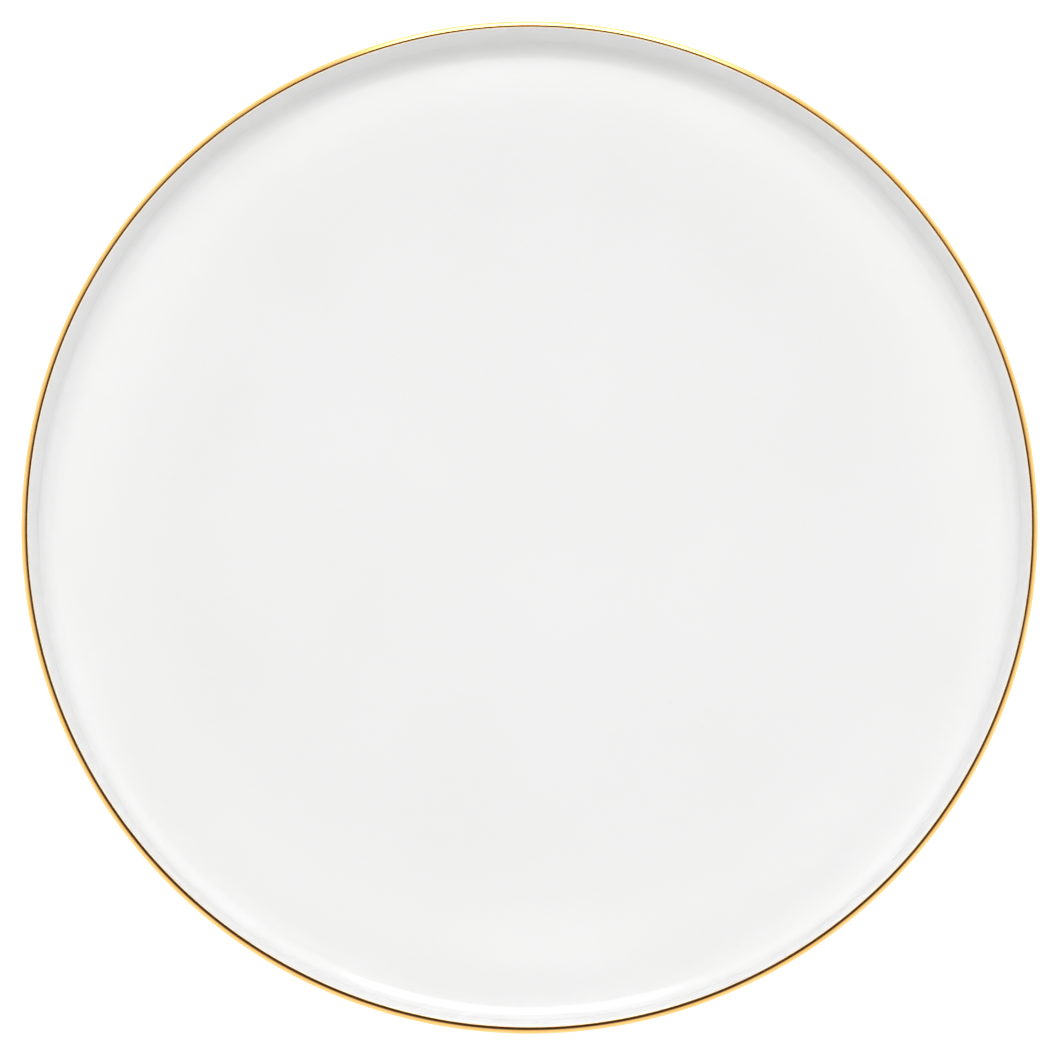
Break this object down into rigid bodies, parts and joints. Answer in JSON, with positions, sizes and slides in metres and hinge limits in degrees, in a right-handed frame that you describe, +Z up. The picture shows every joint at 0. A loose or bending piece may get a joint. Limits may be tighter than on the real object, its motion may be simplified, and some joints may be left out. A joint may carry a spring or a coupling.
{
  "type": "dinner plate",
  "caption": "Flat round porcelain dinner plate with a short upright wall, a white glaze, a gold band on the lip and a bare foot ring.",
  "frame": {"origin": "centre of the foot ring's contact face, on the plate's axis", "axes": "+Z up along the plate's axis, out of the well; X and Y are any two directions across the plate"},
  "size_m": [0.27, 0.27, 0.022],
  "materials": {
    "fired_body": "matte",
    "white_glaze": "gloss",
    "gold": "polished"
  },
  "bodies": {
    "root": {"porcelain_body": "fired_body", "outer_glaze": "white_glaze", "foot_recess_glaze": "white_glaze", "gold_lip_band": "gold"}
  },
  "joints": []
}
